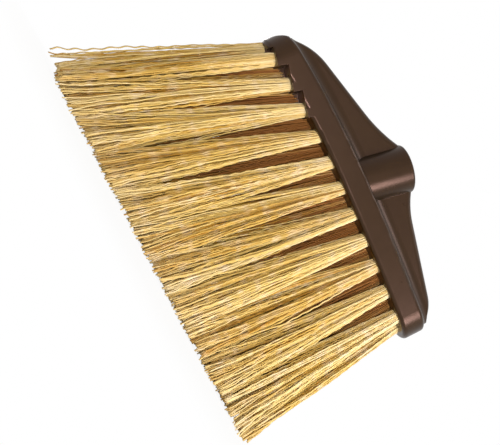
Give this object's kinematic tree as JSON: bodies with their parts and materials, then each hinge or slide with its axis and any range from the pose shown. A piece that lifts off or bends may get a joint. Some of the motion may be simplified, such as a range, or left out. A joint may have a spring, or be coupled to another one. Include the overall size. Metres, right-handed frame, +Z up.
{
  "type": "broom head",
  "caption": "Angle broom head: bowed moulded block with a leaning threaded handle socket, and rows of long bristle tufts that fan out towards one end.",
  "frame": {"origin": "centre of the rectangle that the bristle tips cover on the floor", "axes": "+X along the block towards the end where the bristles stand nearly straight, -X towards the flared end, +Z up from the floor to the handle socket"},
  "size_m": [0.3, 0.051, 0.1963],
  "materials": {
    "block": "satin dark brown moulded plastic",
    "bristle": "straw-coloured crimped synthetic filament",
    "anchor_wire": "bright drawn wire"
  },
  "bodies": {
    "root": {"back_tuft_01": "bristle", "back_tuft_02": "bristle", "back_tuft_03": "bristle", "back_tuft_04": "bristle", "back_tuft_05": "bristle", "back_tuft_06": "bristle", "back_tuft_07": "bristle", "back_tuft_08": "bristle", "back_tuft_09": "bristle", "back_tuft_10": "bristle", "back_tuft_11": "bristle", "block": "block", "front_tuft_01": "bristle", "front_tuft_02": "bristle", "front_tuft_03": "bristle", "front_tuft_04": "bristle", "front_tuft_05": "bristle", "front_tuft_06": "bristle", "front_tuft_07": "bristle", "front_tuft_08": "bristle", "front_tuft_09": "bristle", "front_tuft_10": "bristle", "front_tuft_11": "bristle", "middle_tuft_01": "bristle", "middle_tuft_02": "bristle", "middle_tuft_03": "bristle", "middle_tuft_04": "bristle", "middle_tuft_05": "bristle", "middle_tuft_06": "bristle", "middle_tuft_07": "bristle", "middle_tuft_08": "bristle", "middle_tuft_09": "bristle", "middle_tuft_10": "bristle", "middle_tuft_11": "bristle", "middle_tuft_12": "bristle", "tuft_anchors": "anchor_wire"}
  },
  "joints": []
}
